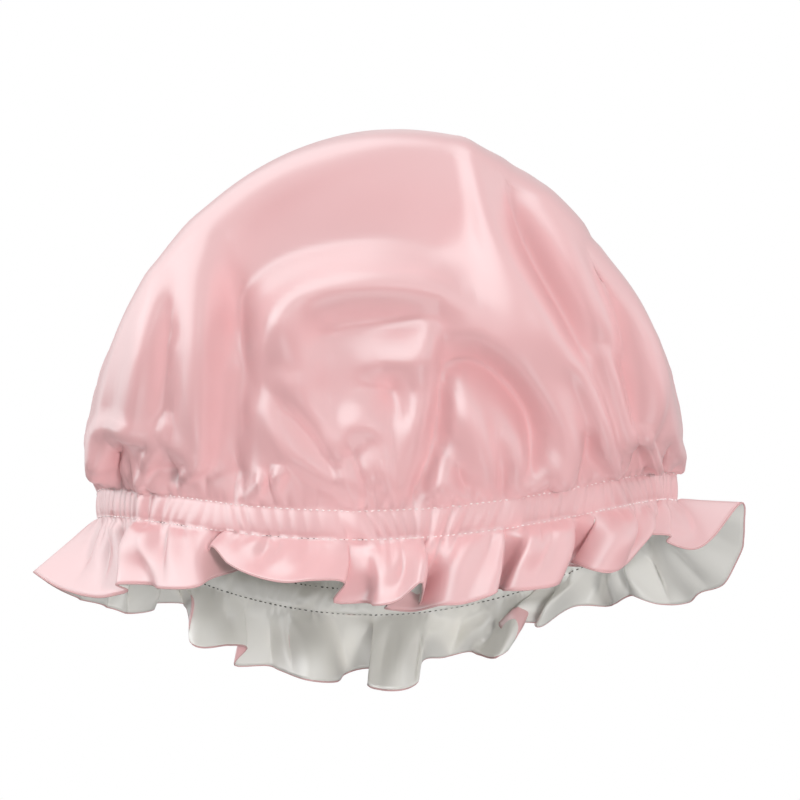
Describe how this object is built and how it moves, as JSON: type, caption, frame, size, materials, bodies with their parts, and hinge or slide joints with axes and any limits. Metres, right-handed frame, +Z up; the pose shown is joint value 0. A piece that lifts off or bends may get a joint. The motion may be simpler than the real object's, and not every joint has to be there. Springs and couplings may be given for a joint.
{
  "type": "silk bonnet",
  "caption": "Puffed satin hair bonnet of an outer layer and a lining, gathered by an elastic band in a stitched casing above a free ruffle.",
  "frame": {"origin": "centre of the head opening, on the middle line of the elastic band", "axes": "+Z up as worn, -Y the way the wearer looks, +X to the wearer's left, along the longest side"},
  "size_m": [0.284, 0.1964, 0.2296],
  "materials": {
    "pink_satin": "glossy satin weave",
    "grey_satin": "satin weave, silver grey",
    "elastic": "braided, matt",
    "pink_thread": "twisted sewing thread",
    "grey_thread": "twisted sewing thread",
    "white_thread": "twisted sewing thread"
  },
  "bodies": {
    "root": {"outer_crown": "pink_satin", "outer_casing": "pink_satin", "outer_ruffle": "pink_satin", "lining_crown": "grey_satin", "lining_casing": "grey_satin", "lining_ruffle": "grey_satin", "elastic_band": "elastic", "elastic_lap_stitch": "white_thread", "upper_stitch_row_outer": "pink_thread", "lower_stitch_row_outer": "pink_thread", "upper_stitch_row_lining": "grey_thread", "lower_stitch_row_lining": "grey_thread", "edge_seam": "pink_thread"}
  },
  "joints": []
}
